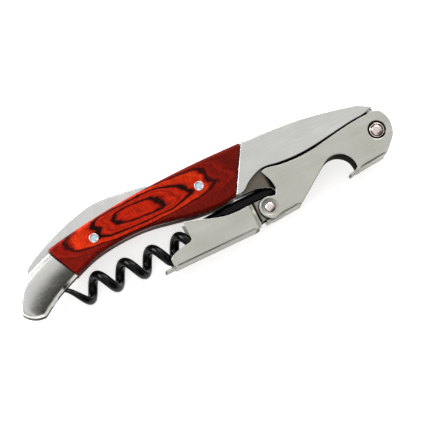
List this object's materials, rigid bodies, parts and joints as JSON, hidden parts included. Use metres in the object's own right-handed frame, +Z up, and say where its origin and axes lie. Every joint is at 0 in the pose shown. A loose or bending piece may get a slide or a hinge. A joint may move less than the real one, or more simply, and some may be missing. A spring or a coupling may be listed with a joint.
{
  "type": "waiters corkscrew",
  "caption": "Folding waiter's corkscrew with a two-step hinged lever, a coated worm, a curved foil knife and a hardwood handle between steel bolsters.",
  "frame": {"origin": "middle of the flat side that the folded tool lies on", "axes": "+X along the tool towards the head, where the lever is pivoted; +Y towards the back of the handle, where the knife lies; +Z up through the thickness, along every pivot"},
  "size_m": [0.115, 0.0264, 0.01],
  "materials": {
    "bolster_steel": "satin cast stainless bolsters",
    "sheet_steel": "folded stainless sheet, fine brushed",
    "blade_steel": "ground stainless blade",
    "spring_steel": "plain stainless inner parts",
    "rivet_steel": "polished rivet and pin heads",
    "red_wood": "red resin-stabilised laminated hardwood, glossy",
    "black_coating": "glossy black non-stick coating on steel wire"
  },
  "bodies": {
    "handle": {"liner_left": "spring_steel", "liner_right": "spring_steel", "front_bolster_left": "bolster_steel", "front_bolster_right": "bolster_steel", "rear_bolster_left": "bolster_steel", "rear_bolster_right": "bolster_steel", "wood_scale_left": "red_wood", "wood_scale_right": "red_wood", "scale_pin_front_left": "rivet_steel", "scale_pin_front_right": "rivet_steel", "scale_pin_rear_left": "rivet_steel", "scale_pin_rear_right": "rivet_steel", "main_spring": "spring_steel", "head_spacer": "spring_steel", "spring_pin": "spring_steel", "spacer_pin": "spring_steel", "knife_pin": "spring_steel", "worm_pin": "spring_steel", "lever_bush_left": "rivet_steel", "lever_bush_right": "rivet_steel", "lever_rivet": "rivet_steel"},
    "upper_lever": {"upper_lever": "sheet_steel", "hinge_rivet": "rivet_steel"},
    "lower_lever": {"lower_lever": "sheet_steel"},
    "worm": {"worm": "black_coating"},
    "knife": {"foil_knife": "blade_steel"}
  },
  "joints": [
    {"name": "lever_swing", "type": "hinge", "parent": "handle", "child": "upper_lever", "pos_m": [0.0531, -0.00245, 0.005], "axis": [0, 0, 1], "range_deg": [0, 160]},
    {"name": "lower_lever_swing", "type": "hinge", "parent": "upper_lever", "child": "lower_lever", "pos_m": [0.0167, -0.0091, 0.005], "axis": [0, 0, 1], "range_deg": [0, 90]},
    {"name": "knife_swing", "type": "hinge", "parent": "handle", "child": "knife", "pos_m": [-0.0504, -0.00295, 0.005], "axis": [0, 0, 1], "range_deg": [0, 180]},
    {"name": "worm_swing", "type": "hinge", "parent": "handle", "child": "worm", "pos_m": [0.0236, -0.00385, 0.005], "axis": [0, 0, 1], "range_deg": [0, 90]}
  ],
  "couplings": [
    {"joint": "worm_swing", "follows": "lever_swing", "ratio": 0.5625}
  ]
}
